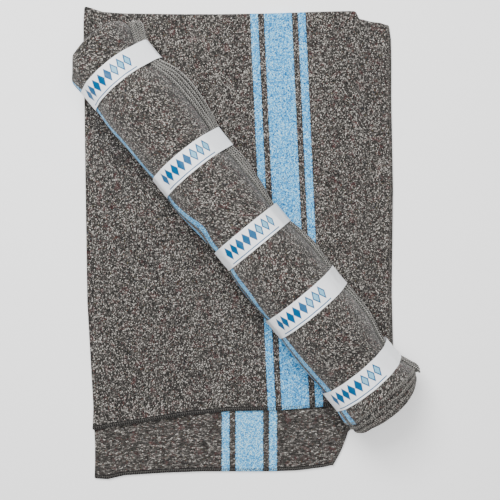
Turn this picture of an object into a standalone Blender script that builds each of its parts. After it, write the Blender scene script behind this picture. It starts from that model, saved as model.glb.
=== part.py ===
"""A stack of woven moving blankets: one folded twice and lying flat, and a roll of two blankets
held by five ties, lying across it. Metres, +Z up, the photograph's right is +X.

The origin is the middle of the underside. Each cloth solid has the real plies' outer form.
"""

import math
from collections import namedtuple

import bmesh
import bpy
import numpy as np
from mathutils import Vector, geometry

# Cloth of the folded blanket, cut 1.30 m wide and 2.00 m long.
PLY = 0.0040
PITCH = 0.0046
LOWEST = PLY / 2
FOLD_RADIUS = PITCH / 2
GAP = 0.0003

# The folded blanket's outline, seen from above. Each row is one place down the fold's length:
# how far down it is, as a share, and where the left fold and the two plies' free edges lie.
Row = namedtuple("Row", "down left outer_edge inner_edge")
UPPER_HALF = (
    Row(0.00, -0.381, 0.316, 0.243),
    Row(0.03, -0.383, 0.320, 0.243),
    Row(0.08, -0.384, 0.321, 0.243),
    Row(0.20, -0.382, 0.321, 0.242),
    Row(0.43, -0.379, 0.325, 0.240),
    Row(0.70, -0.375, 0.322, 0.238),
    Row(0.95, -0.361, 0.327, 0.236),
    Row(1.00, -0.363, 0.325, 0.236),
)
LOWER_HALF = (
    Row(0.00, -0.381, 0.316, 0.243),
    Row(0.03, -0.382, 0.319, 0.243),
    Row(0.20, -0.380, 0.320, 0.243),
    Row(0.65, -0.370, 0.323, 0.238),
    Row(0.84, -0.363, 0.316, 0.232),
    Row(0.93, -0.359, 0.217, 0.220),
    Row(0.97, -0.359, 0.201, 0.204),
    Row(1.00, -0.360, 0.184, 0.187),
)

# Each row is one place across the outer ply, as a share from the left fold to the free edge:
# where the top fold, the upper half's free edge and the lower half's free edge lie.
Column = namedtuple("Column", "across top upper_end lower_end")
COLUMNS = (
    Column(0.00, 0.549, -0.424, -0.538),
    Column(0.02, 0.545, -0.422, -0.539),
    Column(0.05, 0.538, -0.418, -0.540),
    Column(0.12, 0.535, -0.411, -0.531),
    Column(0.30, 0.533, -0.391, -0.525),
    Column(0.45, 0.533, -0.381, -0.522),
    Column(0.62, 0.535, -0.379, -0.522),
    Column(0.74, 0.538, -0.372, -0.522),
    Column(0.85, 0.540, -0.367, -0.520),
    Column(0.888, 0.540, -0.366, -0.518),
    Column(0.900, 0.522, -0.365, -0.517),
    Column(0.97, 0.517, -0.363, -0.512),
    Column(1.00, 0.510, -0.365, -0.508),
)

# Past the inner ply's edge the outer ply comes down by two plies, on a short slope.
SLOPE_CLEAR = 0.006
SLOPE_WIDTH = 0.030
POPPED_CORNER = 0.007
POPPED_WIDE = 0.10
POPPED_LONG = 0.09
SLACK = 0.05

# The roll: its outer turn lies on the blanket, and its length runs from upper left to lower right.
TIE_ONE = Vector((-0.2804, 0.3686))
ROLL_ALONG = Vector((0.6336, -0.7737))
ROLL_ASIDE = Vector((0.7737, 0.6336))
RESTS_AT = LOWEST + 3 * PITCH + PLY / 2
FLAT_SPOT = 0.086
SETTLED = 0.95
PLIES = 4
TURN = 0.0185
TYPICAL_RADIUS = 0.090
FOOT_ANGLE = 3.0
TIP = 0.001
SECTION_STEPS = 36

# Between the ties the loose plies stand off the roll, most at this angle before their edges. The
# lower plies stand off less, down to this share.
LOOSE_AT = 20
LOOSE_WIDE = 60
LOOSE_LESS = 0.75

# Each row is one place along the roll, from the first tie: how far the roll reaches to the left
# and to the right of the ties' line, the angle from the top at which the lowest ply's free edge
# lies, the angle from each ply's edge to the next one's, and how far the loose plies stand off.
Place = namedtuple("Place", "along left right free_end ledge stands_off")
ROLL = (
    Place(-0.061, 0.0950, 0.1000, 70, 4.5, 0.012),
    Place(-0.030, 0.0930, 0.0905, 65, 4.5, 0.004),
    Place(0.000, 0.0915, 0.0880, 60, 4.5, 0.000),
    Place(0.030, 0.0915, 0.0895, 59, 4.5, 0.002),
    Place(0.070, 0.0950, 0.0990, 62, 4.5, 0.009),
    Place(0.130, 0.0930, 0.1005, 69, 4.5, 0.012),
    Place(0.193, 0.0920, 0.0960, 75, 4.5, 0.007),
    Place(0.244, 0.0895, 0.0905, 77, 4.5, 0.000),
    Place(0.300, 0.0950, 0.0950, 74, 4.5, 0.001),
    Place(0.337, 0.0935, 0.0940, 77, 5.0, 0.001),
    Place(0.370, 0.0910, 0.0920, 81, 5.5, 0.000),
    Place(0.415, 0.0870, 0.0845, 87, 7.0, 0.000),
    Place(0.453, 0.0855, 0.0822, 89, 8.0, 0.000),
    Place(0.500, 0.0925, 0.0920, 86, 8.0, 0.000),
    Place(0.545, 0.0948, 0.0985, 83, 8.0, 0.001),
    Place(0.590, 0.0943, 0.0980, 82, 8.0, 0.001),
    Place(0.639, 0.0940, 0.0945, 83, 8.0, 0.000),
    Place(0.690, 0.0985, 0.0980, 83, 8.0, 0.000),
    Place(0.747, 0.0990, 0.0965, 83, 8.0, 0.000),
    Place(0.805, 0.0958, 0.0840, 84, 8.0, 0.000),
    Place(0.839, 0.0965, 0.0815, 86, 8.0, 0.000),
    Place(0.880, 0.1025, 0.0930, 87, 8.0, 0.002),
    Place(0.918, 0.1050, 0.1085, 87, 7.0, 0.004),
)

# The inner turns stand out of both ends. Each row is one ring of an end: how far it lies past the
# outer turn's end, and its size as a share of the outer turn's.
Ring = namedtuple("Ring", "past share")
FIRST_END = (
    Ring(0.004, 0.97),
    Ring(0.012, 0.88),
    Ring(0.022, 0.75),
    Ring(0.027, 0.60),
    Ring(0.029, 0.38),
    Ring(0.030, 0.14),
)
SECOND_END = (
    Ring(0.002, 0.96),
    Ring(0.007, 0.89),
    Ring(0.011, 0.74),
    Ring(0.013, 0.55),
    Ring(0.014, 0.35),
    Ring(0.015, 0.14),
)

# The ties, at their places along the roll.
TIES = (0.000, 0.244, 0.453, 0.639, 0.839)
TIE_WIDTH = 0.050
TIE_CLEAR = 0.003
TIE_FILM = 0.0008
TIE_LIFT = 2 * GAP + TIE_FILM + 0.0006
LIFT_ENDS = 0.020
LIFT_SLOPE = 0.018


def straight(rows, key, column, value):
    """A table's column at a place between its rows."""
    return float(np.interp(value, [getattr(r, key) for r in rows], [getattr(r, column) for r in rows]))


def ease(share):
    share = min(max(share, 0.0), 1.0)
    return share * share * (3 - 2 * share)


def curved(rows, key, column, value):
    """A table's column along one smooth curve through its rows."""
    places = np.array([getattr(row, key) for row in rows])
    sizes = np.array([getattr(row, column) for row in rows])
    slopes = np.gradient(sizes, places)
    value = min(max(value, places[0]), places[-1])
    near = min(int(np.searchsorted(places, value, side="right")) - 1, len(rows) - 2)
    step = places[near + 1] - places[near]
    share = (value - places[near]) / step
    level = sizes[near] + ease(share) * (sizes[near + 1] - sizes[near])
    bend = slopes[near] * (1 - share) - slopes[near + 1] * share
    return float(level + step * share * (1 - share) * bend)


def sunk(across, inner_share):
    """How far the outer ply has come down past the inner ply's edge, from 0 to 1."""
    past = (across - inner_share) * (UPPER_HALF[0].outer_edge - UPPER_HALF[0].left)
    return ease((past - SLOPE_CLEAR) / SLOPE_WIDTH)


def slack(across, down):
    """The share by which the upper plies lie closer, uneven as hand-folded cloth is."""
    wave_across = math.sin(9.0 * across + 2.0) * math.cos(7.0 * down)
    wave_down = math.sin(17.0 * down)
    return SLACK * (0.5 + 0.3 * wave_across + 0.2 * wave_down)


def lifted(across, down):
    """The lift of the corner that stands proud where the two folds meet."""
    return POPPED_CORNER * ease(1 - math.hypot(across / POPPED_WIDE, down / POPPED_LONG))


def blanket_point(ply, across, lap, down):
    """The middle of the cloth.

    ply runs from +1 on the outer ply to -1 on the inner ply, through 0 at the left fold. across is
    the share across, and lap is the angle round the top fold: 0 above it and pi below it.
    """
    rows = UPPER_HALF if lap < math.pi / 2 else LOWER_HALF
    left = straight(rows, "down", "left", down)
    outer = straight(rows, "down", "outer_edge", down)
    inner = straight(rows, "down", "inner_edge", down)
    inner_share = (inner - left) / (outer - left)
    width = (outer - left) * (across if ply > -1 else across * inner_share)
    share = width / (outer - left)
    bend = math.sqrt(max(0.0, 1 - ply * ply))
    x = left + PLY / 2 + FOLD_RADIUS * (1 - bend) + width
    down_by = sunk(share, inner_share) if ply == 1 else 0.0
    radius = PITCH + ply * FOLD_RADIUS - down_by * PITCH
    top = straight(COLUMNS, "across", "top", share)
    start = top - PLY / 2 - PITCH - FOLD_RADIUS * (1 - down_by)
    end_column = "upper_end" if lap < math.pi / 2 else "lower_end"
    end = straight(COLUMNS, "across", end_column, share)
    y = start + down * (end - start) + radius * math.sin(lap)
    above = PITCH + FOLD_RADIUS - down_by * PITCH + radius * math.cos(lap)
    z = LOWEST + above * (1 - slack(share, down)) + lifted(share, down) * above / (3 * PITCH)
    return Vector((x, y, z))


def blanket_columns():
    """The places round the section: over the outer ply, round the left fold, over the inner ply."""
    outer = [(1.0, share) for share in (1.0, 0.97, 0.94, 0.91, 0.9, 0.888, 0.85, 0.74, 0.62, 0.52, 0.40)]
    outer += [(1.0, share) for share in (0.30, 0.20, 0.12, 0.07, 0.04, 0.015, 0.0)]
    fold = [(math.cos(math.radians(angle)), 0.0) for angle in (36, 72, 108, 144)]
    inner = [(-1.0, share) for share in (0.0, 0.02, 0.05, 0.14, 0.35, 0.5, 0.7, 0.85, 0.97, 1.0)]
    return outer + fold + inner


def blanket_rows():
    """The places along the cloth: up the upper half, round the top fold, down the lower half."""
    places = (1.0, 0.975, 0.95, 0.85, 0.70, 0.57, 0.43, 0.31, 0.20, 0.13, 0.08, 0.04, 0.015, 0.0)
    upper = [(0.0, down) for down in places]
    fold = [(math.radians(angle), 0.0) for angle in (36, 72, 108, 144)]
    below = (0.0, 0.02, 0.05, 0.10, 0.20, 0.43, 0.65, 0.78, 0.84, 0.88, 0.93, 0.97, 1.0)
    lower = [(math.pi, down) for down in below]
    return upper + fold + lower


def mesh_object(name, verts, faces, material, smooth_below):
    mesh = bpy.data.meshes.new(name)
    mesh.from_pydata(verts, [], faces)
    shape = bmesh.new()
    shape.from_mesh(mesh)
    bmesh.ops.recalc_face_normals(shape, faces=shape.faces)
    shape.to_mesh(mesh)
    shape.free()
    mesh.shade_smooth()
    mesh.set_sharp_from_angle(angle=math.radians(smooth_below))
    mesh.materials.append(material)
    obj = bpy.data.objects.new(name, mesh)
    bpy.context.scene.collection.objects.link(obj)
    return obj


def finish(name, colour, roughness):
    material = bpy.data.materials.new(name)
    material.use_nodes = True
    shader = material.node_tree.nodes["Principled BSDF"]
    shader.inputs["Base Color"].default_value = (*colour, 1.0)
    shader.inputs["Roughness"].default_value = roughness
    shader.inputs["Metallic"].default_value = 0.0
    return material


def folded_blanket(material):
    """The blanket folded in two twice: one sheet, four plies, a little apart."""
    columns, rows = blanket_columns(), blanket_rows()
    middle = [[blanket_point(ply, across, lap, down) for ply, across in columns] for lap, down in rows]
    normals = []
    for j in range(len(rows)):
        line = []
        for i in range(len(columns)):
            along = middle[min(j + 1, len(rows) - 1)][i] - middle[max(j - 1, 0)][i]
            aside = middle[j][min(i + 1, len(columns) - 1)] - middle[j][max(i - 1, 0)]
            line.append(aside.cross(along).normalized())
        normals.append(line)
    outside = [m + n * PLY / 2 for ms, ns in zip(middle, normals) for m, n in zip(ms, ns)]
    inside = [m - n * PLY / 2 for ms, ns in zip(middle, normals) for m, n in zip(ms, ns)]
    wide, long = len(columns), len(rows)
    faces = []
    for j in range(long - 1):
        for i in range(wide - 1):
            a, b, c, d = j * wide + i, j * wide + i + 1, (j + 1) * wide + i + 1, (j + 1) * wide + i
            faces.append((a, b, c, d))
            faces.append(tuple(k + wide * long for k in (d, c, b, a)))
    rim = list(range(wide)) + [j * wide + wide - 1 for j in range(1, long)]
    rim += [(long - 1) * wide + i for i in range(wide - 2, -1, -1)]
    rim += [j * wide for j in range(long - 2, 0, -1)]
    for a, b in zip(rim, rim[1:] + rim[:1]):
        faces.append((a, b, b + wide * long, a + wide * long))
    return mesh_object("folded_blanket", outside + inside, faces, material, 50)


def tie_lift(along):
    """The roll stands off by this much at a tie, which passes under it."""
    nearest = min(abs(along - place) for place in TIES)
    return TIE_LIFT * ease((TIE_WIDTH / 2 + LIFT_ENDS - nearest) / LIFT_SLOPE)


def wound(radius, turned, ply=0):
    """The distance from the roll's axis to a ply's outer face, at an angle from the free end."""
    return radius + TURN * (0.5 - turned / 360 - ply / PLIES)


def beyond_radius(free_end, ledge):
    """How far the roll reaches past its mean radius to the left and to the right."""
    last_edge = free_end + (PLIES - 1) * ledge
    left = wound(0.0, (270 - last_edge) % 360)
    sides = []
    for ply in range(PLIES):
        edge = last_edge - ply * ledge
        angle = max(edge, 90) if ply == 0 else min(max(edge, 90), edge + ledge)
        sides.append(wound(TYPICAL_RADIUS, angle - last_edge, ply) * math.sin(math.radians(angle)))
    below = min(free_end, 90)
    sides.append(wound(TYPICAL_RADIUS, below - last_edge + 360) * math.sin(math.radians(below)))
    return left, max(sides) - TYPICAL_RADIUS


def roll_section(along, share=1.0):
    """One section of the roll, as (aside, up) from the ties' line: four plies end in ledges."""
    left, right, free_end, ledge, stands_off = (
        curved(ROLL, "along", column, along) for column in Place._fields[1:]
    )
    more_left, more_right = beyond_radius(free_end, ledge)
    radius = (left + right - more_left - more_right) / 2
    centre = (right - left - more_right + more_left) / 2
    last_edge = free_end + (PLIES - 1) * ledge
    turn = 360 - (PLIES - 1) * ledge - FOOT_ANGLE
    faces = [(turn * step / (SECTION_STEPS - 1), 0) for step in range(SECTION_STEPS)]
    for ply in range(PLIES - 1, 0, -1):
        faces += [(-ply * ledge, ply), ((0.8 - ply) * ledge, ply)]
    lowest = tie_lift(along) - FLAT_SPOT
    section = []
    for turned, ply in faces:
        loose = stands_off * ease(1 - abs(turned - LOOSE_AT) / LOOSE_WIDE) * (1 - LOOSE_LESS * ply / PLIES)
        distance = (wound(radius, turned, ply) + loose) * share
        angle = math.radians(last_edge + turned)
        up = distance * math.cos(angle)
        section.append((centre + distance * math.sin(angle), max(up * SETTLED if up > 0 else up, lowest)))
    return section


def roll_point(along, aside, up):
    ground = TIE_ONE + ROLL_ALONG * along + ROLL_ASIDE * aside
    return Vector((ground.x, ground.y, RESTS_AT + GAP + FLAT_SPOT + up))


def roll_places():
    """The places of the roll's sections: each row of its table, and both edges of each tie."""
    places = {row.along for row in ROLL}
    for place in TIES:
        places |= {place - TIE_WIDTH / 2 - TIE_CLEAR, place + TIE_WIDTH / 2 + TIE_CLEAR}
    places = sorted(places)
    return [a for a, b in zip(places, places[1:]) if b - a > TIE_CLEAR] + places[-1:]


def rolled_blankets(material):
    """The roll as one wound solid, with the inner turns standing out of its ends."""
    loops = [(ROLL[0].along - ring.past, ring.share) for ring in reversed(FIRST_END)]
    loops += [(place, 1.0) for place in roll_places()]
    loops += [(ROLL[-1].along + ring.past, ring.share) for ring in SECOND_END]
    verts = []
    for along, share in loops:
        verts += [roll_point(along, aside, up) for aside, up in roll_section(along, share)]
    count = len(verts) // len(loops)
    faces = []
    for j in range(len(loops) - 1):
        for i in range(count):
            k = (i + 1) % count
            faces.append((j * count + i, j * count + k, (j + 1) * count + k, (j + 1) * count + i))
    for first, beyond, along in ((0, -TIP, loops[0][0]), ((len(loops) - 1) * count, TIP, loops[-1][0])):
        tip = sum((Vector(verts[first + i]) for i in range(count)), Vector()) / count
        verts.append(tip + Vector((*(ROLL_ALONG * beyond), 0.0)))
        faces += [(first + i, first + (i + 1) % count, len(verts) - 1) for i in range(count)]
    return mesh_object("rolled_blankets", verts, faces, material, 40)


def tie_band(name, place, material):
    """A flat film tie, drawn tight round the roll over the free end's ledges."""
    reach = TIE_WIDTH / 2 + TIE_CLEAR
    places = [near for near in roll_places() if abs(near - place) <= reach + TIE_CLEAR]
    points = [Vector(point) for along in places for point in roll_section(along)]
    hull = [points[i] for i in geometry.convex_hull_2d(points)]
    rings = []
    for off in (GAP, GAP + TIE_FILM):
        ring = []
        for before, at, after in zip(hull[-1:] + hull[:-1], hull, hull[1:] + hull[:1]):
            normals = [Vector((d.y, -d.x)).normalized() for d in (at - before, after - at)]
            bisector = (normals[0] + normals[1]).normalized()
            ring.append(at + bisector * off / bisector.dot(normals[0]))
        rings.append(ring)
    edges = (place - TIE_WIDTH / 2, place + TIE_WIDTH / 2)
    loops = [(edges[0], rings[0]), (edges[0], rings[1]), (edges[1], rings[1]), (edges[1], rings[0])]
    verts = [roll_point(along, point.x, point.y) for along, ring in loops for point in ring]
    count = len(hull)
    faces = []
    for j in range(4):
        for i in range(count):
            k, n = (i + 1) % count, (j + 1) % 4
            faces.append((j * count + i, j * count + k, n * count + k, n * count + i))
    return mesh_object(name, verts, faces, material, 30)


def stand_on_origin(objects):
    """Moves the whole stack so that the origin is the middle of its underside."""
    corners = [vert.co for obj in objects for vert in obj.data.vertices]
    middle = [(min(c[k] for c in corners) + max(c[k] for c in corners)) / 2 for k in (0, 1)]
    stack = bpy.data.objects.new("stack", None)
    bpy.context.scene.collection.objects.link(stack)
    stack.location = (-middle[0], -middle[1], 0.0)
    for obj in objects:
        obj.parent = stack


def clear_scene():
    for obj in list(bpy.data.objects):
        bpy.data.objects.remove(obj, do_unlink=True)


def build():
    clear_scene()
    grey_cloth = finish("woven_grey_cloth", (0.13, 0.12, 0.115), 0.95)
    roll_cloth = finish("woven_grey_cloth_of_the_roll", (0.13, 0.12, 0.115), 0.95)
    film = finish("white_film", (0.80, 0.80, 0.84), 0.25)
    made = [folded_blanket(grey_cloth), rolled_blankets(roll_cloth)]
    for number, place in enumerate(TIES, 1):
        made.append(tie_band(f"tie_band_{number}", place, film))
    stand_on_origin(made)


build()
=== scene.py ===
"""Woven grey moving blankets: one folded flat, with a tied roll of two lying across it."""

import math

import bpy
import numpy as np
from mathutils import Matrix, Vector, geometry


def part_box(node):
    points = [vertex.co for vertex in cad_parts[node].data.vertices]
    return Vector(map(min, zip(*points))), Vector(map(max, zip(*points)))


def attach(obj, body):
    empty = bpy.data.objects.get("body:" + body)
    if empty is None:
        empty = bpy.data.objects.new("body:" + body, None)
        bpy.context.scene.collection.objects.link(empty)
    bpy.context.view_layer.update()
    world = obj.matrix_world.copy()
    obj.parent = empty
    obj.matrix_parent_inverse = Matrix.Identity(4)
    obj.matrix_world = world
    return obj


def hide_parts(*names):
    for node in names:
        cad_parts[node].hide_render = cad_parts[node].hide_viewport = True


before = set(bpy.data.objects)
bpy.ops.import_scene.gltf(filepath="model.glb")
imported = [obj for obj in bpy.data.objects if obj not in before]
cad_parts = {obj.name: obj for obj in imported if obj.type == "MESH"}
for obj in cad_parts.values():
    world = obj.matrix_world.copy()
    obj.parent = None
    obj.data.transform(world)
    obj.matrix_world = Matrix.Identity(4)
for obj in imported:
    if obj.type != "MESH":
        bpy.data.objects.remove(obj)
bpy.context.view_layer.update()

# Ground, light and camera. The stack lies on a plain white ground and is seen from straight above,
# from 1.93 m, with soft light from the upper left, so that its shadow falls to the lower right.
CAMERA_HEIGHT = 1.93
CAMERA_DOWN = 0.0116
FOCAL_LENGTH = 59.9
GROUND_SIZE = 6.0
GROUND_BELOW = 0.0005

# The places on the stack below are measured from a point near the middle of the view. The folded
# blanket's left fold and top corner, whose distances from it are known, give its place in the frame.
blanket_low, blanket_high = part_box("folded_blanket")
LEFT_FOLD_AT = -0.384
TOP_CORNER_AT = 0.549
view_centre = Vector((blanket_low.x - LEFT_FOLD_AT, blanket_high.y - TOP_CORNER_AT, 0.0))

bpy.ops.object.select_all(action="DESELECT")
bpy.ops.object.camera_add(
    location=(view_centre.x, view_centre.y - CAMERA_DOWN, CAMERA_HEIGHT),
    rotation=(0, 0, 0),
)
camera = bpy.context.object
camera.data.lens = FOCAL_LENGTH
camera.data.sensor_width = 36.0
bpy.context.scene.camera = camera

bpy.ops.mesh.primitive_plane_add(size=GROUND_SIZE, location=(0, 0, -GROUND_BELOW))
ground = bpy.context.object
ground.name = "white_ground"
ground_paint = bpy.data.materials.new("white_ground")
ground_paint.use_nodes = True
ground_shader = ground_paint.node_tree.nodes["Principled BSDF"]
ground_shader.inputs["Base Color"].default_value = (0.97, 0.97, 0.97, 1)
ground_shader.inputs["Roughness"].default_value = 0.9
ground_shader.inputs["Emission Color"].default_value = (1.0, 1.0, 1.0, 1)
ground_shader.inputs["Emission Strength"].default_value = 0.4
ground.data.materials.append(ground_paint)

LAMPS = (
    # name, place, size, watts
    ("window_light", (-0.8, 1.6, 2.8), 1.5, 140),
    ("overhead_light", (0.0, 0.1, 3.6), 2.6, 100),
)
for lamp_name, place, size, watts in LAMPS:
    bpy.ops.object.light_add(type="AREA", location=place)
    lamp = bpy.context.object
    lamp.name = lamp_name
    lamp.data.size = size
    lamp.data.energy = watts
    lamp.rotation_euler = (-Vector(place)).to_track_quat("-Z", "Y").to_euler()
room = bpy.data.worlds.new("soft_room")
room.use_nodes = True
room.node_tree.nodes["Background"].inputs["Color"].default_value = (1.0, 1.0, 1.0, 1)
room.node_tree.nodes["Background"].inputs["Strength"].default_value = 0.22
bpy.context.scene.world = room


# Folded blanket. One length of woven recycled yarn, 1.30 by 2.00 m, folded in two across its width
# with the fold at the left, and then along its length with the fold at the top: four plies.
PLY = 0.0040
PITCH = 0.0046
FOLD_RADIUS = PITCH / 2
LOWEST = PLY / 2
CLOTH_CUT = (1.30, 2.00)

# Down the length, as a share: the left fold and the free edges of the outer and the inner ply.
UPPER_EDGES = np.array(
    (
        # down, left, outer, inner
        (0.00, -0.381, 0.316, 0.243),
        (0.03, -0.383, 0.320, 0.243),
        (0.08, -0.384, 0.321, 0.243),
        (0.20, -0.382, 0.321, 0.242),
        (0.43, -0.379, 0.325, 0.240),
        (0.70, -0.375, 0.322, 0.238),
        (0.95, -0.361, 0.327, 0.236),
        (1.00, -0.363, 0.325, 0.236),
    )
)
LOWER_EDGES = np.array(
    (
        # down, left, outer, inner
        (0.00, -0.381, 0.316, 0.243),
        (0.03, -0.382, 0.319, 0.243),
        (0.20, -0.380, 0.320, 0.243),
        (0.65, -0.370, 0.323, 0.238),
        (0.84, -0.363, 0.316, 0.232),
        (0.93, -0.359, 0.217, 0.220),
        (0.97, -0.359, 0.201, 0.204),
        (1.00, -0.360, 0.184, 0.187),
    )
)
# Across the outer ply, as a share: the top fold and the free ends of the upper and the lower half.
ENDS = np.array(
    (
        # across, top, upper end, lower end
        (0.00, 0.549, -0.424, -0.538),
        (0.02, 0.545, -0.422, -0.539),
        (0.05, 0.538, -0.418, -0.540),
        (0.12, 0.535, -0.411, -0.531),
        (0.30, 0.533, -0.391, -0.525),
        (0.45, 0.533, -0.381, -0.522),
        (0.62, 0.535, -0.379, -0.522),
        (0.74, 0.538, -0.372, -0.522),
        (0.85, 0.540, -0.367, -0.520),
        (0.888, 0.540, -0.366, -0.518),
        (0.900, 0.522, -0.365, -0.517),
        (0.97, 0.517, -0.363, -0.512),
        (1.00, 0.510, -0.365, -0.508),
    )
)

# Past the inner ply's edge the outer ply sinks by one pitch, over a slope that starts a little
# clear of that edge. The corner where both folds meet stands up, over a share of each side.
OUTER_WIDTH = 0.70
SLOPE_CLEAR = 0.006
SLOPE_WIDTH = 0.030
POPPED_CORNER = 0.007
POPPED_ACROSS = 0.10
POPPED_DOWN = 0.09
SLACK = 0.05
RUFFLE = 0.0003
RIM_BULGE = 0.42

# Where the middle one of the three stripes runs: on the upper half it leans right going down.
STRIPE_TOP = (0.528, 0.0640)
STRIPE_BOTTOM = (-0.356, 0.1040)
STRIPE_ON_FLAP = -0.0015

# The weave is counted from the outer free edge, round the left fold and on along the inner ply.
WEAVE_ON_OUTER = 0.33
WEAVE_ON_INNER = 1.09


def ease(share):
    """A share from 0 to 1, made to start and to end smoothly."""
    share = np.clip(share, 0.0, 1.0)
    return share * share * (3 - 2 * share)


def cloth_sheet(name, middle, thickness, maps):
    """Closes a grid of points into a sheet of cloth of real thickness, with a rounded rim."""
    rows, columns = middle.shape[:2]
    down, aside = np.gradient(middle, axis=0), np.gradient(middle, axis=1)
    normal = np.cross(aside, down)
    normal /= np.linalg.norm(normal, axis=2, keepdims=True)
    outward = np.zeros_like(middle)
    outward[0] -= down[0] / np.linalg.norm(down[0], axis=1, keepdims=True)
    outward[-1] += down[-1] / np.linalg.norm(down[-1], axis=1, keepdims=True)
    outward[:, 0] -= aside[:, 0] / np.linalg.norm(aside[:, 0], axis=1, keepdims=True)
    outward[:, -1] += aside[:, -1] / np.linalg.norm(aside[:, -1], axis=1, keepdims=True)
    upper = (middle + normal * thickness / 2).reshape(-1, 3)
    under = (middle - normal * thickness / 2).reshape(-1, 3)
    index = np.arange(rows * columns).reshape(rows, columns)
    rim = np.concatenate((index[0, :-1], index[:-1, -1], index[-1, :0:-1], index[:0:-1, 0]))
    bulged = (middle + outward * thickness * RIM_BULGE).reshape(-1, 3)[rim]
    count = rows * columns
    a, b, c, d = (index[i, j].ravel() for i, j in (
        (slice(None, -1), slice(None, -1)),
        (slice(None, -1), slice(1, None)),
        (slice(1, None), slice(1, None)),
        (slice(1, None), slice(None, -1)),
    ))
    faces = np.concatenate((np.stack((a, d, c, b), 1), np.stack((a, b, c, d), 1) + count))
    round_it = 2 * count + np.arange(len(rim))
    following, next_round = np.roll(rim, -1), np.roll(round_it, -1)
    sides = np.concatenate((
        np.stack((rim, following, next_round, round_it), 1),
        np.stack((round_it, next_round, following + count, rim + count), 1),
    ))
    verts = np.concatenate((upper, under, bulged))
    source = np.concatenate((np.arange(count), np.arange(count), rim))
    quads = np.concatenate((faces, sides))
    mesh = bpy.data.meshes.new(name)
    mesh.from_pydata(verts.tolist(), [], quads.tolist())
    corner_verts = np.zeros(len(mesh.loops), int)
    mesh.loops.foreach_get("vertex_index", corner_verts)
    for map_name, values in maps.items():
        layer = mesh.uv_layers.new(name=map_name)
        layer.data.foreach_set("uv", values.reshape(-1, 2)[source[corner_verts]].ravel())
    mesh.shade_smooth()
    cloth = bpy.data.objects.new(name, mesh)
    bpy.context.scene.collection.objects.link(cloth)
    return cloth


def hem_distance(middle):
    """Over the cloth, how far each point lies from the outer rows and from the outer columns."""
    distances = []
    for axis in (0, 1):
        steps = np.linalg.norm(np.diff(middle, axis=axis), axis=2)
        run = np.insert(np.cumsum(steps, axis=axis), 0, 0.0, axis=axis)
        distances.append(np.minimum(run, run.take([-1], axis=axis) - run))
    return np.stack(distances, axis=2)


def ruffle(x, y, scale):
    """Soft uneven waves, from -1 to 1, as hand-laid cloth has."""
    x, y = x * scale, y * scale
    wave = np.sin(11.3 * x + 4.1 * y + 0.7) + np.sin(-6.2 * x + 9.7 * y + 2.2)
    return (wave + 0.7 * np.sin(23.0 * x - 17.0 * y) + 0.5 * np.sin(41.0 * x + 29.0 * y + 1.1)) / 3.2


def slackness(share, down):
    """How closely the plies settle on each other, in slow waves from about 0 to 1."""
    return 0.5 + 0.3 * np.sin(9 * share + 2) * np.cos(7 * down) + 0.2 * np.sin(17 * down)


def blanket_grid(ply, across, lap, down):
    """The middle of the cloth over a grid: ply and across go round the section, lap and down along."""
    ply, across = ply[None, :], across[None, :]
    lap, down = lap[:, None], down[:, None]
    above = lap < math.pi / 2
    left, outer, inner = (
        np.where(above, np.interp(down, UPPER_EDGES[:, 0], UPPER_EDGES[:, k]),
                 np.interp(down, LOWER_EDGES[:, 0], LOWER_EDGES[:, k]))
        for k in (1, 2, 3)
    )
    inner_share = (inner - left) / (outer - left)
    share = np.where(ply > -1, across, across * inner_share)
    bend = np.sqrt(np.clip(1 - ply * ply, 0, 1))
    x = left + PLY / 2 + FOLD_RADIUS * (1 - bend) + share * (outer - left)
    past_inner = (share - inner_share) * OUTER_WIDTH
    sunk = np.where(ply == 1, ease((past_inner - SLOPE_CLEAR) / SLOPE_WIDTH), 0.0)
    radius = PITCH + ply * FOLD_RADIUS - sunk * PITCH
    top, upper_end, lower_end = (np.interp(share, ENDS[:, 0], ENDS[:, k]) for k in (1, 2, 3))
    start = top - PLY / 2 - PITCH - FOLD_RADIUS * (1 - sunk)
    end = np.where(above, upper_end, lower_end)
    y = start + down * (end - start) + radius * np.sin(lap)
    height = PITCH + FOLD_RADIUS - sunk * PITCH + radius * np.cos(lap)
    slack = SLACK * slackness(share, down)
    lift = POPPED_CORNER * ease(1 - np.hypot(share / POPPED_ACROSS, down / POPPED_DOWN))
    z = LOWEST + height * (1 - slack) + lift * height / (3 * PITCH)
    z = z + RUFFLE * ruffle(x, y, 3.0) * ease(height / PITCH)
    return np.stack((x, y, z), axis=2)


def spread(stops, counts):
    """Places from one stop to the next, each stretch cut into its own number of steps."""
    runs = [np.linspace(a, b, n, endpoint=False) for a, b, n in zip(stops, stops[1:], counts)]
    return np.concatenate(runs + [np.array([stops[-1]])])


outer_places = spread((1.0, 0.98, 0.905, 0.885, 0.04, 0.0), (3, 8, 5, 62, 6))
inner_places = spread((0.0, 0.05, 0.97, 1.0), (6, 50, 4))
fold_angles = np.radians(np.arange(15, 180, 15))
ply_places = np.concatenate((np.ones(len(outer_places)), np.cos(fold_angles), -np.ones(len(inner_places))))
across_places = np.concatenate((outer_places, np.zeros(len(fold_angles)), inner_places))
upper_places = spread((1.0, 0.985, 0.06, 0.0), (4, 74, 9))
lower_places = spread((0.0, 0.06, 0.985, 1.0), (9, 78, 4))
lap_places = np.concatenate((np.zeros(len(upper_places)), fold_angles, np.full(len(lower_places), math.pi)))
down_places = np.concatenate((upper_places, np.zeros(len(fold_angles)), lower_places))

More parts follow.
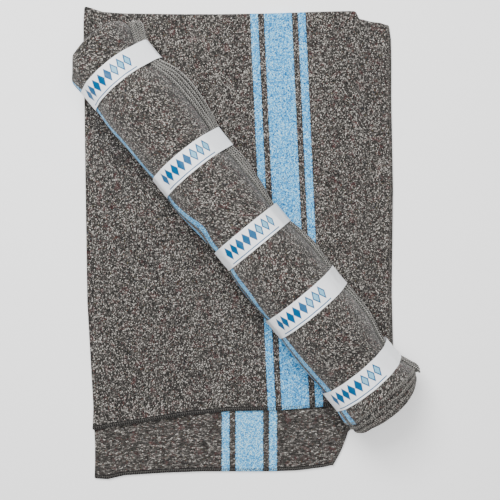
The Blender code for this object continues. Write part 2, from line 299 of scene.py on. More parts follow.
blanket_middle = blanket_grid(ply_places, across_places, lap_places, down_places)
on_outer = (ply_places >= 0)[None, :] & np.ones((len(lap_places), 1), bool)
upper_half = (lap_places < math.pi / 2)[:, None]
stripe_lean = (STRIPE_BOTTOM[1] - STRIPE_TOP[1]) / (STRIPE_BOTTOM[0] - STRIPE_TOP[0])
stripe_line = STRIPE_TOP[1] + (blanket_middle[:, :, 1] - STRIPE_TOP[0]) * stripe_lean
stripe_line = np.where(upper_half, stripe_line, 2 * STRIPE_TOP[1] - stripe_line)
stripe_line = np.where(on_outer, stripe_line, STRIPE_ON_FLAP)
from_stripe = (blanket_middle[:, :, 0] - stripe_line) * np.where(on_outer, 1.0, -1.0)
across_cloth = blanket_middle[:, :, 0] * np.where(on_outer, -1.0, 1.0)
across_cloth = across_cloth + np.where(on_outer, WEAVE_ON_OUTER, WEAVE_ON_INNER)
steps_along = np.linalg.norm(np.diff(blanket_middle, axis=0), axis=2).mean(axis=1)
along_cloth = np.concatenate(([0.0], np.cumsum(steps_along)))[:, None] + np.zeros_like(across_cloth)
far_side = np.where(upper_half, 0.0, 1.0) + np.zeros_like(across_cloth)
blanket = cloth_sheet(
    "folded_blanket_cloth",
    blanket_middle + np.array(view_centre),
    PLY,
    {
        "weave": np.stack((across_cloth, along_cloth), axis=2),
        "stripes": np.stack((from_stripe, far_side), axis=2),
        "hem": hem_distance(blanket_middle),
    },
)


class Wire:
    """A value in a material, so that its maths reads as it would on paper."""

    def __init__(self, tree, socket):
        self.tree, self.socket = tree, socket

    def node(self, kind, settings, values):
        """Adds a node, sets it up, and joins or sets its sockets. The node itself comes back."""
        made = self.tree.nodes.new(kind)
        for key, value in settings.items():
            if key == "stops":
                ramp = made.color_ramp
                ramp.interpolation = "CONSTANT" if settings.get("stepped") else "LINEAR"
                for place, tone in value[:-2]:
                    ramp.elements.new(place)
                for element, (place, tone) in zip(ramp.elements, value):
                    element.position, element.color = place, (*tone, 1.0)
            elif key != "stepped":
                setattr(made, key, value)
        for key, value in values.items():
            if isinstance(value, Wire):
                self.tree.links.new(value.socket, made.inputs[key])
            else:
                made.inputs[key].default_value = value
        return made

    def math(self, operation, other=0.0):
        made = self.node("ShaderNodeMath", {"operation": operation}, {0: self, 1: other})
        return Wire(self.tree, made.outputs[0])

    def __add__(self, other):
        return self.math("ADD", other)

    __radd__ = __add__

    def __sub__(self, other):
        return self.math("SUBTRACT", other)

    def __rsub__(self, other):
        return (self * -1.0).math("ADD", other)

    def __mul__(self, other):
        return self.math("MULTIPLY", other)

    __rmul__ = __mul__

    def above(self, edge, blur):
        """0 well below the edge, 1 well above it."""
        return ((self - (edge - blur)) * (0.5 / blur)).math("MINIMUM", 1.0).math("MAXIMUM", 0.0)

    def size(self):
        return self.math("ABSOLUTE")

    def mixed(self, first, second):
        """From the first colour to the second, by this value."""
        values = {"Factor": self, 6: first, 7: second}
        made = self.node("ShaderNodeMix", {"data_type": "RGBA"}, values)
        return Wire(self.tree, made.outputs[2])


def colour(red, green, blue):
    """A colour read as 0 to 255, in the linear values that a shader takes."""
    return tuple(
        v / 255 / 12.92 if v < 11 else ((v / 255 + 0.055) / 1.055) ** 2.4
        for v in (red, green, blue)
    )


YARN_TONES = (
    (0.00, colour(12, 12, 12)),
    (0.18, colour(22, 21, 20)),
    (0.36, colour(39, 37, 35)),
    (0.54, colour(55, 52, 49)),
    (0.70, colour(77, 74, 71)),
    (0.82, colour(110, 106, 102)),
    (0.92, colour(184, 180, 173)),
)
FLECK_TONES = (
    (0.00, colour(126, 52, 58)),
    (0.34, colour(144, 80, 58)),
    (0.56, colour(92, 48, 66)),
    (0.70, colour(128, 116, 62)),
    (0.84, colour(60, 92, 72)),
    (0.93, colour(58, 80, 108)),
)
FLECKS_ABOVE = 0.955
FLECK_STRENGTH = 0.26
MAROON = (*colour(98, 46, 48), 1)
MAROON_STRENGTH = 0.30
STRIPE_TONES = (
    (0.00, colour(0, 40, 84)),
    (0.20, colour(26, 98, 156)),
    (0.44, colour(66, 150, 208)),
    (0.68, colour(100, 188, 236)),
    (0.88, colour(186, 232, 250)),
)

# The stripes by the distance from their middle: a wide one, with a thin one on each side of it.
WIDE_STRIPE_TO = 0.0316
THIN_STRIPE_FROM = 0.0462
THIN_STRIPE_TO = 0.0632
STRIPE_BLUR = 0.0006
RAGGED = 0.0016
RAGGED_FAR = 0.0018

# Under the overlocking the cloth lies in shade, most of all along a grid's first and last rows.
HEM_WIDE = 0.0088
HEM_SHADE = (*colour(16, 15, 15), 1)
SHADE_ON_ROWS = 0.94
SHADE_ON_COLUMNS = 0.20


def woven_cloth(name):
    """Recycled yarn in a twill: dark and light slubs with stray coloured flecks, and blue stripes."""
    material = bpy.data.materials.new(name)
    material.use_nodes = True
    tree = material.node_tree
    shader = tree.nodes["Principled BSDF"]
    start = Wire(tree, None)

    def wire(kind, settings, values):
        return Wire(tree, start.node(kind, settings, values).outputs[0])

    def place_on(map_name):
        """The two values that one of the cloth's maps holds at each point."""
        both = wire("ShaderNodeUVMap", {"uv_map": map_name}, {})
        parts = start.node("ShaderNodeSeparateXYZ", {}, {0: both})
        return Wire(tree, parts.outputs[0]), Wire(tree, parts.outputs[1])

    def noise(scale, detail):
        """Soft patches in the cloth."""
        values = {"Vector": weave, "Scale": scale, "Detail": detail}
        return wire("ShaderNodeTexNoise", {"noise_dimensions": "2D"}, values)

    weave = wire("ShaderNodeUVMap", {"uv_map": "weave"}, {})
    from_middle, far = place_on("stripes")

    def slubs(turn, cell, stretch, seed):
        """One layer of yarn slubs: a random value in each cell, and how near its middle a point is."""
        turned = wire("ShaderNodeMapping", {}, {
            "Vector": weave,
            "Location": (seed, seed * 0.37, 0.0),
            "Rotation": (0.0, 0.0, math.radians(turn)),
            "Scale": (1 / cell, 1 / (cell * stretch), 1.0),
        })
        flat = {"voronoi_dimensions": "2D"}
        cells = start.node("ShaderNodeTexVoronoi", flat, {"Vector": turned, "Scale": 1.0})
        value = start.node("ShaderNodeSeparateColor", {}, {0: Wire(tree, cells.outputs["Color"])})
        return [Wire(tree, value.outputs[k]) for k in (0, 1, 2)] + [Wire(tree, cells.outputs["Distance"])]

    twill, twill_two, twill_three, twill_from = slubs(turn=38, cell=0.0017, stretch=1.15, seed=3.1)
    fine, fine_two, _, fine_from = slubs(turn=52, cell=0.0011, stretch=1.2, seed=7.7)
    streak, streak_two, _, streak_from = slubs(turn=4, cell=0.0052, stretch=0.40, seed=5.3)
    haze = noise(scale=26.0, detail=3.0)
    patch = noise(scale=48.0, detail=2.0)

    # Grey yarn. The twill shows on the upper half and the roll, and flat streaks on the lower half.
    face_slub = twill * (1.0 - far) + (streak * 0.58 + twill * 0.36 + 0.10) * far
    tone_value = face_slub * 0.86 + fine * 0.14 + (haze - 0.5) * 0.12
    yarn = wire("ShaderNodeValToRGB", {"stops": YARN_TONES}, {"Fac": tone_value})
    tint = wire("ShaderNodeValToRGB", {"stops": FLECK_TONES, "stepped": True}, {"Fac": twill_two})
    odd = twill_three.above(FLECKS_ABOVE, 0.01)
    yarn = (odd * FLECK_STRENGTH).mixed(yarn, tint)
    reddish = patch.above(0.66, 0.05) * twill_two.above(0.5, 0.2)
    yarn = (reddish * MAROON_STRENGTH).mixed(yarn, MAROON)
    at_rows, at_columns = (1.0 - distance.above(HEM_WIDE, 0.001) for distance in place_on("hem"))
    shaded = (at_rows * SHADE_ON_ROWS).math("MAXIMUM", at_columns * SHADE_ON_COLUMNS)
    yarn = shaded.mixed(yarn, HEM_SHADE)

    # Blue stripes, whose edges are ragged by the slubs that cross them.
    ragged = (fine_two - 0.5) * RAGGED + (streak_two - 0.5) * RAGGED_FAR * far
    off = from_middle.size() + ragged
    wide = 1.0 - off.above(WIDE_STRIPE_TO, STRIPE_BLUR)
    thin = off.above(THIN_STRIPE_FROM, STRIPE_BLUR) * (1.0 - off.above(THIN_STRIPE_TO, STRIPE_BLUR))
    blue = wide + thin
    blue_value = twill * 0.76 + fine * 0.12 + streak * 0.12 + (haze - 0.5) * 0.15 + far * 0.10
    dyed = wire("ShaderNodeValToRGB", {"stops": STRIPE_TONES}, {"Fac": blue_value})
    cloth_colour = blue.mixed(yarn, dyed)
    tree.links.new(cloth_colour.socket, shader.inputs["Base Color"])

    # Each slub is raised in its middle.
    raised = (1.0 - twill_from) * 0.5 + (1.0 - fine_from) * 0.3
    height = raised + (1.0 - streak_from) * 0.35 * far + haze * 0.3
    relief = wire("ShaderNodeBump", {}, {"Height": height, "Strength": 0.55, "Distance": 0.0012})
    tree.links.new(relief.socket, shader.inputs["Normal"])
    shader.inputs["Roughness"].default_value = 0.94
    shader.inputs["Sheen Weight"].default_value = 0.12
    shader.inputs["Sheen Roughness"].default_value = 0.6
    shader.inputs["Specular IOR Level"].default_value = 0.2
    return material


cloth_finish = woven_cloth("woven_cloth")
blanket.data.materials.append(cloth_finish)
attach(blanket, "root")
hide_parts("folded_blanket")


# Overlocking of the folded blanket. Bars of grey thread wrap every free edge 5 mm apart, and chains
# of finer thread join them: one 5 mm in from the edge on either face, and two along the rim.
STITCH = 0.0050
BITE = 0.0054
THREAD = 0.00072
THREAD_SIDES = 4
CHAIN = 0.00046

# The chains sway from stitch to stitch. The rim's two run just outside it, a little off its middle.
SWAY = 0.0005
RIM = 0.0004
RIM_LEVEL = 0.35

# One bar's six points, from the upper face round the rim to the under face: its slant as a share
# of a stitch, how far in it lies as a share of the bite, and its level as a share of half the ply.
BAR = np.array(
    (
        # slant, inward, level
        (0.25, 1.00, 1.00),
        (0.00, 0.45, 1.08),
        (0.00, 0.00, 0.80),
        (0.00, 0.00, -0.80),
        (0.00, 0.45, -1.08),
        (-0.25, 1.00, -1.00),
    )
)
GREY_THREAD = (colour(56, 54, 51), colour(104, 101, 97))
DULL_THREAD = (colour(84, 82, 78), colour(146, 143, 137))
LIGHT_THREAD = (colour(134, 132, 127), colour(230, 227, 220))


def threads(name, paths, finish):
    """Many thin threads as one piece. Each path is an array of points with the thread's radius."""
    verts, faces = [], []
    sides = THREAD_SIDES
    turns = np.arange(sides) * 2 * math.pi / sides
    for path, radius in paths:
        path[:, 2] = np.maximum(path[:, 2], radius)
        along = np.gradient(path, axis=0)
        along /= np.linalg.norm(along, axis=1, keepdims=True) + 1e-12
        aside = np.cross(along, (0.31, 0.17, 0.93))
        aside /= np.linalg.norm(aside, axis=1, keepdims=True)
        other = np.cross(along, aside)
        first = len(verts)
        ring = path[:, None] + radius * (
            np.cos(turns)[None, :, None] * aside[:, None] + np.sin(turns)[None, :, None] * other[:, None]
        )
        verts.extend(ring.reshape(-1, 3).tolist())
        for j in range(len(path) - 1):
            for i in range(sides):
                k = (i + 1) % sides
                a, b = first + j * sides, first + (j + 1) * sides
                faces.append((a + i, a + k, b + k, b + i))
        faces.append([first + i for i in range(sides)][::-1])
        faces.append([first + (len(path) - 1) * sides + i for i in range(sides)])
    mesh = bpy.data.meshes.new(name)
    mesh.from_pydata(verts, [], faces)
    mesh.shade_smooth()
    mesh.materials.append(finish)
    thread = bpy.data.objects.new(name, mesh)
    bpy.context.scene.collection.objects.link(thread)
    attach(thread, "root")
    return thread


def overlock(edge, inward, normal, thickness):
    """The bars and the chains along one edge, as thread paths that follow the cloth."""
    lengths = np.concatenate(([0.0], np.cumsum(np.linalg.norm(np.diff(edge, axis=0), axis=1))))
    places = np.arange(STITCH / 2, lengths[-1], STITCH)

    def at(values, where):
        return np.stack([np.interp(where, lengths, values[:, k]) for k in range(3)], axis=1)

    half = thickness / 2 + THREAD * 0.5
    paths = []
    for where in places:
        shift = where + STITCH * BAR[:, 0]
        e, i, n = at(edge, shift), at(inward, shift), at(normal, shift)
        reach = np.maximum(BITE * BAR[:, 1], RIM)[:, None]
        level = half * BAR[:, 2][:, None]
        paths.append((e + i * reach + n * level, THREAD))
    fine = np.arange(0.0, lengths[-1], STITCH / 2)
    e, i, n = at(edge, fine), at(inward, fine), at(normal, fine)
    sway = np.where(np.arange(len(fine)) % 2, SWAY, -SWAY)[:, None]
    for reach, level in ((BITE, 1), (BITE, -1), (-RIM, RIM_LEVEL), (-RIM, -RIM_LEVEL)):
        paths.append((e + i * (reach + sway) + n * (half * level), CHAIN))
    return paths


def grid_edge(middle, side):
    """The edge points of a grid with the inward and the normal direction at each of them."""
    down, aside = np.gradient(middle, axis=0), np.gradient(middle, axis=1)
    normal = np.cross(aside, down)
    picks = {
        "first_row": (middle[0], down[0], normal[0]),
        "last_row": (middle[-1], -down[-1], normal[-1]),
        "first_column": (middle[:, 0], aside[:, 0], normal[:, 0]),
        "last_column": (middle[:, -1], -aside[:, -1], normal[:, -1]),
    }
    edge, inward, normal = picks[side]
    inward = inward / np.linalg.norm(inward, axis=1, keepdims=True)
    return edge, inward, -normal / np.linalg.norm(normal, axis=1, keepdims=True)


def sewing_thread(name, dull, clean):
    """Spun polyester sewing thread, dull in places from handling."""
    material = bpy.data.materials.new(name)
    material.use_nodes = True
    tree = material.node_tree
    shader = tree.nodes["Principled BSDF"]
    start = Wire(tree, None)
    place = Wire(tree, start.node("ShaderNodeTexCoord", {}, {}).outputs["Object"])
    made = start.node("ShaderNodeTexNoise", {}, {"Vector": place, "Scale": 420.0})
    value = Wire(tree, made.outputs[0])
    shade = value.above(0.5, 0.2).mixed((*dull, 1), (*clean, 1))
    tree.links.new(shade.socket, shader.inputs["Base Color"])
    shader.inputs["Roughness"].default_value = 0.8
    return material


grey_thread = sewing_thread("grey_thread", *GREY_THREAD)
dull_thread = sewing_thread("dull_thread", *DULL_THREAD)
light_thread = sewing_thread("light_thread", *LIGHT_THREAD)
stitches = []
for side in ("first_row", "last_row", "first_column", "last_column"):
    stitches += overlock(*grid_edge(blanket_middle + np.array(view_centre), side), PLY)
overlocking = threads("overlock_folded", stitches, grey_thread)


# The roll. Two blankets of the same cloth are laid together, folded in two crosswise, so that the
# fold is at the upper left end, and rolled up: four plies to each turn. The free side edges end
# on the right flank as four steps, and the inner turns stand out of both ends.
TIE_ONE = np.array((-0.2804, 0.3686))
ROLL_ALONG = np.array((0.6336, -0.7737))
ROLL_ASIDE = np.array((0.7737, 0.6336))
RESTS_AT = LOWEST + 3 * PITCH + PLY / 2
GAP = 0.0003
FLAT_SPOT = 0.086
SETTLED = 0.95
PLIES = 4
TURN = 0.0185
TURNS = 4.1
TYPICAL_RADIUS = 0.090
ROLLED_PLY = 0.0034
ROLLED_PITCH = TURN / PLIES

# Each row is one place along the roll, from the first tie: the roll's reach to the left and to the
# right, the lowest ply's edge by its angle from the top, the angle from edge to edge, the loose
# plies' stand-off, and the angle from the top, to the left, at which the stripes begin.
ROLL = np.array(
    (
        # along, left, right, free end, ledge, stands off, stripes at
        (-0.061, 0.0950, 0.1000, 70, 4.5, 0.012, 76.0),
        (-0.030, 0.0930, 0.0905, 65, 4.5, 0.004, 70.0),
        (0.000, 0.0915, 0.0880, 60, 4.5, 0.000, 66.0),
        (0.030, 0.0915, 0.0895, 59, 4.5, 0.002, 71.0),
        (0.070, 0.0950, 0.0990, 62, 4.5, 0.009, 71.0),
        (0.130, 0.0930, 0.1005, 69, 4.5, 0.012, 70.5),
        (0.193, 0.0920, 0.0960, 75, 4.5, 0.007, 71.0),
        (0.244, 0.0895, 0.0905, 77, 4.5, 0.000, 70.0),
        (0.300, 0.0950, 0.0950, 74, 4.5, 0.001, 65.0),
        (0.337, 0.0935, 0.0940, 77, 5.0, 0.001, 58.0),
        (0.370, 0.0910, 0.0920, 81, 5.5, 0.000, 51.0),
        (0.415, 0.0870, 0.0845, 87, 7.0, 0.000, 63.0),
        (0.453, 0.0855, 0.0822, 89, 8.0, 0.000, 64.0),
        (0.500, 0.0925, 0.0920, 86, 8.0, 0.000, 62.0),
        (0.545, 0.0948, 0.0985, 83, 8.0, 0.001, 61.5),
        (0.590, 0.0943, 0.0980, 82, 8.0, 0.001, 67.0),
        (0.639, 0.0940, 0.0945, 83, 8.0, 0.000, 66.0),
        (0.690, 0.0985, 0.0980, 83, 8.0, 0.000, 62.0),
        (0.747, 0.0990, 0.0965, 83, 8.0, 0.000, 60.5),
        (0.805, 0.0958, 0.0840, 84, 8.0, 0.000, 60.0),
        (0.839, 0.0965, 0.0815, 86, 8.0, 0.000, 59.0),
        (0.880, 0.1025, 0.0930, 87, 8.0, 0.002, 55.5),
        (0.918, 0.1050, 0.1085, 87, 7.0, 0.004, 55.0),
    )
)
LEFT, RIGHT, FREE_END, LEDGE, STANDS_OFF, STRIPES_AT = range(1, 7)

# Both ends by the place aside: how far the folds, the shortest ply and the longest ply stand out.
FOLD_REACH = np.array(
    ((-0.096, -0.006), (-0.077, 0.003), (-0.056, 0.024), (-0.020, 0.028), (0.007, 0.030),
     (0.046, 0.030), (0.079, 0.024), (0.088, 0.016), (0.097, 0.008), (0.108, 0.000))
)
SHORT_REACH = np.array(
    ((-0.100, -0.018), (-0.085, -0.016), (-0.065, -0.019), (-0.020, -0.024), (0.020, -0.024),
     (0.057, -0.021), (0.077, -0.018), (0.090, -0.016), (0.105, -0.014))
)
LONG_REACH = np.array(
    ((-0.105, 0.014), (-0.090, 0.014), (-0.063, 0.013), (-0.037, 0.014), (0.003, 0.014),
     (0.030, 0.012), (0.057, 0.007), (0.073, 0.003), (0.086, -0.002), (0.105, -0.006))
)
TIES = (0.000, 0.244, 0.453, 0.639, 0.839)
TIE_WIDTH = 0.050

# Where the winding isn't an even spiral. Angles are in degrees, turned from the free end. The first
# turn is the loose one: it fans out near the free end, bulges, and is nipped and pleated by a tie.
WANDER = 0.9
LOOSE_UNTIL = 400
LOOSE_FADE = 80
FAN_AT = 20
FAN_ABOUT = 60
FAN_LOST_INWARD = 0.75
BULGE = 0.0009
NIP = 0.0006
NIP_PAST_TIE = 0.004
NIP_FADE = 0.006
PLEAT = 0.0010
PLEATS_ROUND = 13
PLEATS_TWIST = 900
PLEATS_FROM_TIE = 0.034
PLEATS_WIDE = 0.02

# Below, the roll is lifted a little at each tie, which passes under it. The inner turns bed down.
TIE_LIFT = 0.0018
LIFT_PAST_TIE = 0.020
LIFT_FADE = 0.018
BEDDED_PITCH = 0.9
INNER_LIFT = 0.004

# Past the shortest ply's end the longer ones draw in, but they flare on the left flank.
TUCK = 0.005
TUCK_FADE = 0.020
LEFT_FLARE = 1.5
LEFT_FLANK_FROM = 0.75
LEFT_FLANK_FADE = 0.2


def curved(rows, column, places):
    """A table's column along one smooth curve through its rows, as cloth bulges and draws in."""
    keys, sizes = rows[:, 0], rows[:, column]
    slopes = np.gradient(sizes, keys)
    places = np.clip(places, keys[0], keys[-1])
    near = np.clip(np.searchsorted(keys, places, side="right") - 1, 0, len(rows) - 2)
    step = keys[near + 1] - keys[near]
    share = (places - keys[near]) / step
    level = sizes[near] + ease(share) * (sizes[near + 1] - sizes[near])
    bend = slopes[near] * (1 - share) - slopes[near + 1] * share
    return level + step * share * (1 - share) * bend


def roll_core(along):
    """The roll's mean radius, its axis's place aside, and the angle of the outermost ply's edge."""
    left, right, free_end, ledge = (curved(ROLL, k, along) for k in (LEFT, RIGHT, FREE_END, LEDGE))
    last_edge = free_end + (PLIES - 1) * ledge
    more_left = TURN * (0.5 - ((270 - last_edge) % 360) / 360)
    reaches = []
    for ply in range(PLIES):
        edge = last_edge - ply * ledge
        angle = np.maximum(edge, 90) if ply == 0 else np.minimum(np.maximum(edge, 90), edge + ledge)
        past = TURN * (0.5 - (angle - last_edge) / 360 - ply / PLIES)
        reaches.append((TYPICAL_RADIUS + past) * np.sin(np.radians(angle)))
    below = np.minimum(free_end, 90)
    past = TURN * (0.5 - (below - last_edge + 360) / 360)
    reaches.append((TYPICAL_RADIUS + past) * np.sin(np.radians(below)))
    more_right = np.max(reaches, axis=0) - TYPICAL_RADIUS
    radius = (left + right - more_left - more_right) / 2
    centre = (right - left - more_right + more_left) / 2
    return radius, centre, last_edge


def tie_distance(along):
    """How far a place along the roll lies from the middle of the nearest tie."""
    return np.min([np.abs(along - place) for place in TIES], axis=0)


def wound(turned, along, depth):
    """A point of the wound cloth: the angle turned from the free end, and the depth in its turn."""
    mean, centre, last_edge = roll_core(along)
    angle = last_edge + turned + WANDER * np.sin(31 * along + 2.0 * depth / ROLLED_PITCH)
    rightward, upward = np.sin(np.radians(angle)), np.cos(np.radians(angle))
    near_tie = tie_distance(along)

    lift = TIE_LIFT * ease((TIE_WIDTH / 2 + LIFT_PAST_TIE - near_tie) / LIFT_FADE)
    in_turn = np.where(turned < 0, turned, turned % 360)
    outermost = mean + TURN * (0.5 - in_turn / 360)
    flattened = np.minimum(1.0, (FLAT_SPOT - lift) / np.maximum(-upward, 1e-3) / outermost)

    loose = ease((LOOSE_UNTIL - turned) / LOOSE_FADE)
    fan = curved(ROLL, STANDS_OFF, along) * ease(1 - np.abs(turned - FAN_AT) / FAN_ABOUT) * loose
    fan = fan * (1 - FAN_LOST_INWARD * depth / TURN)
    nip = -NIP * ease((TIE_WIDTH / 2 + NIP_PAST_TIE - near_tie) / NIP_FADE) * loose
    pleats = PLEAT * np.sin(np.radians(PLEATS_ROUND * angle + PLEATS_TWIST * along))
    pleats = pleats * np.exp(-((near_tie - PLEATS_FROM_TIE) / PLEATS_WIDE) ** 2)
    bulge = BULGE * ruffle(along * 1.7, np.radians(angle) * 0.3, 1.2)

    past_short = along - ROLL[-1, 0] - np.interp(mean * rightward, *SHORT_REACH.T)
    left_flank = ease((-rightward - LEFT_FLANK_FROM) / LEFT_FLANK_FADE)
    tuck = TUCK * ease(past_short / TUCK_FADE) * (LEFT_FLARE * left_flank - 1) * loose

    radius = (mean + TURN * (0.5 - turned / 360) - depth) * flattened + fan + nip + tuck
    radius = radius + (pleats + bulge) * loose
    lowest = -(FLAT_SPOT - lift) + depth * BEDDED_PITCH + (1 - loose) * INNER_LIFT
    up = np.maximum(radius * upward, lowest)
    return centre + radius * rightward, np.where(up > 0, up * SETTLED, up), angle


def on_stack(along, aside, up):
    """From places on the roll to places in the frame."""
    ground = TIE_ONE + along[..., None] * ROLL_ALONG + aside[..., None] * ROLL_ASIDE
    height = RESTS_AT + GAP + FLAT_SPOT + up
    return np.concatenate((ground, height[..., None]), axis=2) + np.array(view_centre)


ROLL_LINES = spread((0.0, 0.02, 0.97, 1.0), (5, 92, 7))
ROLL_FOLD = np.radians(np.arange(22.5, 180, 22.5))
TURN_STEPS = spread((0.0, 0.006, 0.25, 1.0), (3, 60, 104))

# How each ply's open end reaches from the shortest one's line to the longest one's.
PLY_REACH = (0.0, 0.45, 0.85, 1.0)

# How far the end folds bow out, as a share of their bend, and more so near the free edge.
FOLD_BOW = 1.1
EDGE_LOOP = 1.2
LOOP_ABOUT = 28

# The ends are uneven, shorter below, and the inner turns stand out of them by a few millimetres.
UNEVEN_SLOW = 0.0025
UNEVEN_QUICK = 0.0015
FOLDS_SHORTER_BELOW = 0.35
OPEN_SHORTER_BELOW = 0.3
INNER_FROM = 330
INNER_FADE = 50
INNER_OUT = 0.004


def rolled_grid(first, second):
    """One blanket of the roll: an outer ply, the fold at the end, and an inner ply under it."""
    depths = [(ply + 0.5) * ROLLED_PITCH for ply in (first, second)]
    bend, middle_depth = (depths[1] - depths[0]) / 2, sum(depths) / 2
    lines = [np.full(len(ROLL_LINES), depths[0]), middle_depth - bend * np.cos(ROLL_FOLD)]
    depth = np.concatenate(lines + [np.full(len(ROLL_LINES), depths[1])])[None, :]
    share = np.concatenate((ROLL_LINES, np.ones(len(ROLL_FOLD)), ROLL_LINES[::-1]))[None, :]
    past = np.concatenate((0 * ROLL_LINES, np.sin(ROLL_FOLD), 0 * ROLL_LINES))[None, :]
    about_along = ROLL[-1, 0] + share * (ROLL[0, 0] - ROLL[-1, 0])
    begin = -(depth / ROLLED_PITCH - 0.5) * curved(ROLL, LEDGE, about_along)
    turned = begin + TURN_STEPS[:, None] * (360 * TURNS - begin)
    depth = depth + 0 * turned
    fold_aside, fold_up, _ = wound(turned, ROLL[0, 0] + 0 * turned, depth)
    open_aside, open_up, _ = wound(turned, ROLL[-1, 0] + 0 * turned, depth)
    uneven = UNEVEN_SLOW * np.sin(np.radians(turned * 1.7 + 40))
    uneven = uneven + UNEVEN_QUICK * np.sin(np.radians(turned * 4.3))
    inner = ease((turned - INNER_FROM) / INNER_FADE)

    fold_aside, fold_up = (values.mean(axis=1, keepdims=True) for values in (fold_aside, fold_up))
    bow = bend * (FOLD_BOW + EDGE_LOOP * ease(1 - turned.mean(axis=1, keepdims=True) / LOOP_ABOUT))
    fold_end = np.interp(fold_aside, *FOLD_REACH.T)
    fold_end = fold_end * (1 - FOLDS_SHORTER_BELOW * ease(-fold_up / FLAT_SPOT))
    fold_end = ROLL[0, 0] - fold_end + bow + (uneven + INNER_OUT) * inner

    long = np.interp(depth, depths, [PLY_REACH[first], PLY_REACH[second]])
    long = long + (1 - long) * inner
    short_line = np.interp(open_aside, *SHORT_REACH.T)
    long_line = np.interp(open_aside, *LONG_REACH.T)
    open_end = (1 - long) * short_line + long * long_line
    open_end = open_end * (1 - OPEN_SHORTER_BELOW * ease(-open_up / FLAT_SPOT))
    open_end = ROLL[-1, 0] + open_end + (uneven - INNER_OUT) * inner

    along = open_end + share * (fold_end - open_end) - past * bow
    aside, up, angle = wound(turned, along, depth)
    return on_stack(along, aside, up), along, angle


# Only the outermost ply's stripes run straight along the roll: those under it are a little skewed.
STRIPE_SKEW = 0.055
SKEW_FROM = -0.05
SKEW_OVER = 0.3
STRIPES_FROM_EDGE = 0.240
WEAVES_APART = 3.0
for number, (first, second) in enumerate(((0, 3), (1, 2)), 1):
    middle, along, angle = rolled_grid(first, second)
    steps = np.linalg.norm(np.diff(middle, axis=0), axis=2)
    wound_off = np.concatenate((np.zeros((1, middle.shape[1])), np.cumsum(steps, axis=0)))
    stripes_begin = 360 - curved(ROLL, STRIPES_AT, along)
    at_stripes = np.array([
        np.interp(0.0, angle[:, k] - stripes_begin[:, k], wound_off[:, k]) for k in range(angle.shape[1])
    ])
    under_ply = np.arange(middle.shape[1]) > (middle.shape[1] / 2 if number == 1 else -1)
    skewed = np.where(under_ply, STRIPE_SKEW * ease((along - SKEW_FROM) / SKEW_OVER), 0.0)
    from_stripe = np.where(
        wound_off < CLOTH_CUT[0] / 2,
        wound_off - at_stripes[None, :] + THIN_STRIPE_TO + skewed,
        wound_off - (CLOTH_CUT[0] - STRIPES_FROM_EDGE),
    )
    cloth = cloth_sheet(
        f"rolled_blanket_cloth_{number}",
        middle,
        ROLLED_PLY,
        {
            "weave": np.stack((wound_off + WEAVES_APART * number, along), axis=2),
            "stripes": np.stack((from_stripe, 0 * from_stripe), axis=2),
            "hem": hem_distance(middle),
        },
    )
    cloth.data.materials.append(cloth_finish)
    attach(cloth, "root")
    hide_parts("rolled_blankets")
    side_stitches = overlock(*grid_edge(middle, "first_row"), ROLLED_PLY)
    end_stitches = []
    for side in ("first_column", "last_column"):
        end_stitches += overlock(*grid_edge(middle, side), ROLLED_PLY)
    overlocking = [
        threads(f"overlock_side_{number}", side_stitches, light_thread),
        threads(f"overlock_end_{number}", end_stitches, dull_thread),
    ]


# Ties. Five bands of white glossy film, 50 mm wide, drawn tight round the roll over its free end.
# They bridge the steps of the edges, and carry a plain blue print along part of their length.
FILM = 0.00025
TIE_AROUND = 160
TIE_ACROSS = 10
LINES_UNDER_TIE = 7
STEPS_UNDER_TIE = 401
CRINKLE = 0.0005
EDGE_CURL = 0.0004
WHITE_FILM = (*colour(250, 252, 255), 1)
BLUE_INK = (*colour(0, 84, 130), 1)
PALE_INK = (*colour(128, 186, 214), 1)

# The print: five solid lozenges and three open ones in a row, a little off the band's middle, with
# a thin rule beside them. Each band is laid on with its print shifted by an amount of its own.
LOZENGE_EVERY = 0.0174
LOZENGE_TALL = 0.034
LOZENGE_HALF = 0.0084
HEART_HALF = 0.0056
LOZENGES_OFF_MIDDLE = 0.003
RULE_OFF_MIDDLE = 0.0195
RULE_HALF = 0.0011
INK_BLUR = 0.0003
PRINT_FROM = 11 * LOZENGE_EVERY
PRINT_EVERY = 15 * LOZENGE_EVERY
SOLID_LONG = 5 * LOZENGE_EVERY
PRINT_LONG = 8 * LOZENGE_EVERY
PRINT_SHIFTS = (-0.014, 0.002, 0.002, 0.007, 0.000)


def tie_path(place, around):
    """A tight band's line round the roll: its points aside and up, at bearings from the top."""
    along = place + np.linspace(-TIE_WIDTH / 2, TIE_WIDTH / 2, LINES_UNDER_TIE)[None, :]
    ledge = curved(ROLL, LEDGE, along)
    turned = np.linspace(-1.0, 1.0, STEPS_UNDER_TIE)[:, None]
    turned = np.where(turned < 0, turned * (PLIES - 1) * ledge, turned * 359)
    depth = np.clip(-turned / ledge, 0, PLIES - 1) * ROLLED_PITCH
    depth = depth + (ROLLED_PITCH - ROLLED_PLY) / 2
    aside, up, _ = wound(turned, along + 0 * turned, depth)
    points = [Vector((a, u)) for a, u in zip(aside.ravel(), up.ravel())]
    hull = np.array([points[i] for i in geometry.convex_hull_2d(points)])
    bearing = np.degrees(np.arctan2(hull[:, 0], hull[:, 1]))
    return [np.interp(around, bearing, hull[:, k], period=360) for k in (0, 1)]


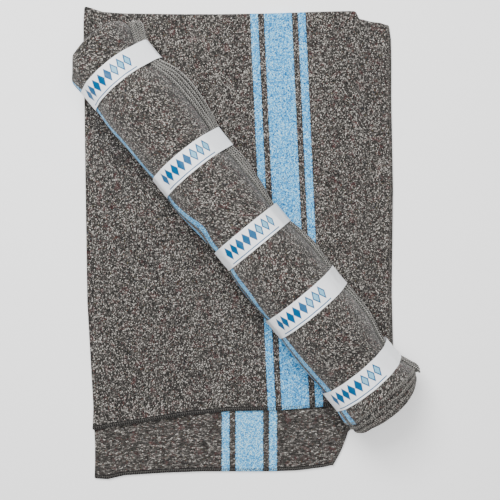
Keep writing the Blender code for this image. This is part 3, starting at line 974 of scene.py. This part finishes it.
def printed_film(name):
    """White gloss film with a plain print: blue lozenges, then open ones, beside a thin rule."""
    material = bpy.data.materials.new(name)
    material.use_nodes = True
    tree = material.node_tree
    shader = tree.nodes["Principled BSDF"]
    start = Wire(tree, None)
    place = start.node("ShaderNodeSeparateXYZ", {}, {
        0: Wire(tree, start.node("ShaderNodeUVMap", {"uv_map": "film"}, {}).outputs[0]),
    })
    around, across = Wire(tree, place.outputs[0]), Wire(tree, place.outputs[1])
    group = (around + (PRINT_EVERY - PRINT_FROM)).math("MODULO", PRINT_EVERY)
    cell = (group * (1 / LOZENGE_EVERY)).math("FRACT") - 0.5
    from_row = (across + LOZENGES_OFF_MIDDLE).size()
    from_middle = cell.size() * LOZENGE_EVERY + from_row * (LOZENGE_EVERY / LOZENGE_TALL)
    lozenge = 1.0 - from_middle.above(LOZENGE_HALF, INK_BLUR)
    heart = 1.0 - from_middle.above(HEART_HALF, INK_BLUR)
    rule = 1.0 - (across - RULE_OFF_MIDDLE).size().above(RULE_HALF, 0.0002)
    in_solids = 1.0 - group.above(SOLID_LONG, INK_BLUR)
    printed = 1.0 - group.above(PRINT_LONG, INK_BLUR)
    shade = (lozenge * printed + rule * printed).math("MINIMUM", 1.0).mixed(WHITE_FILM, BLUE_INK)
    shade = (heart * printed * (1.0 - in_solids)).mixed(shade, PALE_INK)
    tree.links.new(shade.socket, shader.inputs["Base Color"])
    crinkle = start.node("ShaderNodeTexNoise", {}, {
        "Vector": Wire(tree, start.node("ShaderNodeTexCoord", {}, {}).outputs["Object"]),
        "Scale": 52.0,
        "Detail": 4.0,
    })
    relief = start.node("ShaderNodeBump", {}, {
        "Height": Wire(tree, crinkle.outputs[0]),
        "Strength": 0.5,
        "Distance": 0.0035,
    })
    tree.links.new(relief.outputs[0], shader.inputs["Normal"])
    shader.inputs["Roughness"].default_value = 0.42
    shader.inputs["Specular IOR Level"].default_value = 0.22
    shader.inputs["Coat Weight"].default_value = 0.06
    shader.inputs["Coat Roughness"].default_value = 0.15
    return material


def film_tube(name):
    """A plain tube of film as wide as a tie, about +Z, cut across its width for its creases."""
    bpy.ops.object.select_all(action="DESELECT")
    bpy.ops.mesh.primitive_cylinder_add(
        vertices=TIE_AROUND, radius=TYPICAL_RADIUS, depth=TIE_WIDTH, end_fill_type="NOTHING"
    )
    tube = bpy.context.object
    tube.name = name
    bpy.ops.object.mode_set(mode="EDIT")
    for level in np.linspace(-TIE_WIDTH / 2, TIE_WIDTH / 2, TIE_ACROSS + 1)[1:-1]:
        bpy.ops.mesh.select_all(action="SELECT")
        bpy.ops.mesh.bisect(plane_co=(0, 0, level), plane_no=(0, 0, 1))
    bpy.ops.object.mode_set(mode="OBJECT")
    return tube


film_finish = printed_film("printed_film")
for number, tie_place in enumerate(TIES, 1):
    tie = film_tube(f"tie_film_{number}")
    points = np.array([vert.co for vert in tie.data.vertices])
    bearing, across = np.degrees(np.arctan2(points[:, 0], points[:, 1])), points[:, 2]
    aside, up = tie_path(tie_place, bearing)
    wrinkle = ruffle(0.9 * np.sin(np.radians(bearing)) + number, 6 * across, 2.0)
    off = GAP + CRINKLE * (1 + wrinkle) + EDGE_CURL * (np.abs(across) / (TIE_WIDTH / 2)) ** 6
    off = off / np.hypot(aside, up)
    laid = on_stack((tie_place + across)[None], (aside * (1 + off))[None], (up * (1 + off))[None])
    tie.data.vertices.foreach_set("co", laid.ravel())

    around = np.linspace(-180, 180, TIE_AROUND + 1)
    steps = np.linalg.norm(np.diff(tie_path(tie_place, around), axis=1), axis=0)
    travelled = np.concatenate(([0.0], np.cumsum(steps))) - PRINT_SHIFTS[number - 1]
    corners = np.zeros(len(tie.data.loops), int)
    tie.data.loops.foreach_get("vertex_index", corners)
    turns = bearing[corners].reshape(-1, 4)
    middles = np.degrees(np.angle(np.exp(1j * np.radians(turns)).sum(axis=1)))[:, None]
    turns = middles + (turns - middles + 180) % 360 - 180
    film_map = np.stack((np.interp(turns.ravel(), around, travelled), across[corners]), axis=1)
    layer = tie.data.uv_layers[0]
    layer.name = "film"
    layer.data.foreach_set("uv", film_map.ravel())
    tie.data.update()
    film = tie.modifiers.new("film", "SOLIDIFY")
    film.thickness = FILM
    film.offset = 1.0
    bpy.ops.object.modifier_apply(modifier="film")
    bpy.ops.object.shade_smooth_by_angle(angle=math.radians(50))
    tie.data.materials.append(film_finish)
    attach(tie, "root")
    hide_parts(f"tie_band_{number}")
